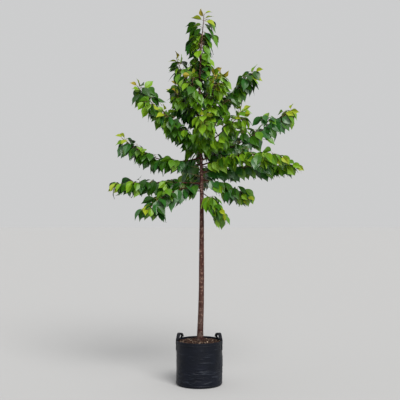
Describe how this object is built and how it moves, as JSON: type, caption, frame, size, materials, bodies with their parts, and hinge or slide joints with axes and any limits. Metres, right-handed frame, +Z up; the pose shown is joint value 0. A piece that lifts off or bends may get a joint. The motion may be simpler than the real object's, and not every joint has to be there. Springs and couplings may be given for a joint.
{
  "type": "sapling in planter bag",
  "caption": "Young feathered tree with one straight leader and drooping leaves, standing in a round woven bag with loop handles that is filled with bark compost.",
  "frame": {"origin": "middle of the bag's flat underside, on the ground", "axes": "+Z up the tree, -Y the front as pictured, +X to the right of it"},
  "size_m": [1.6968, 1.2173, 3.2702],
  "materials": {
    "bag": "woven plastic with a slight sheen",
    "webbing": "ribbed webbing",
    "compost": "rough bark chips",
    "bark": "smooth bark with pale pores",
    "leaf": "leaves with a slight sheen"
  },
  "bodies": {
    "root": {"planter_bag": "bag", "root_ball": "compost", "handle_right": "webbing", "handle_left": "webbing", "trunk": "bark", "bough_left_low": "bark", "bough_left_mid": "bark", "bough_left_high": "bark", "bough_right_low": "bark", "bough_right_mid": "bark", "bough_right_high": "bark", "bough_right_drooping": "bark", "bough_front_right_low": "bark", "bough_front_right_mid": "bark", "bough_front_mid": "bark", "bough_front_left_low": "bark", "bough_front_left_mid": "bark", "bough_back_low": "bark", "bough_back_left_mid": "bark", "bough_back_right_mid": "bark", "bough_back_left_high": "bark", "foliage_left_low": "leaf", "foliage_left_mid": "leaf", "foliage_left_high": "leaf", "foliage_right_low": "leaf", "foliage_right_mid": "leaf", "foliage_right_high": "leaf", "foliage_right_drooping": "leaf", "foliage_front_right_low": "leaf", "foliage_front_right_mid": "leaf", "foliage_front_mid": "leaf", "foliage_front_left_low": "leaf", "foliage_front_left_mid": "leaf", "foliage_back_low": "leaf", "foliage_back_left_mid": "leaf", "foliage_back_right_mid": "leaf", "foliage_back_left_high": "leaf", "foliage_left_top": "leaf", "foliage_front_right_top": "leaf", "foliage_front_drooping": "leaf", "foliage_front_high": "leaf", "foliage_back_right_high": "leaf", "foliage_left_short": "leaf", "foliage_right_short": "leaf", "foliage_spur_low_left": "leaf", "foliage_spur_low_right": "leaf", "foliage_spur_mid_left": "leaf", "foliage_spur_mid_back": "leaf", "foliage_spur_mid_right": "leaf", "foliage_spur_upper_left": "leaf", "foliage_spur_upper_right": "leaf", "foliage_spur_upper_back": "leaf", "foliage_spur_crown_front": "leaf", "foliage_spur_crown_right": "leaf", "foliage_spur_crown_left": "leaf", "foliage_leader": "leaf"}
  },
  "joints": []
}
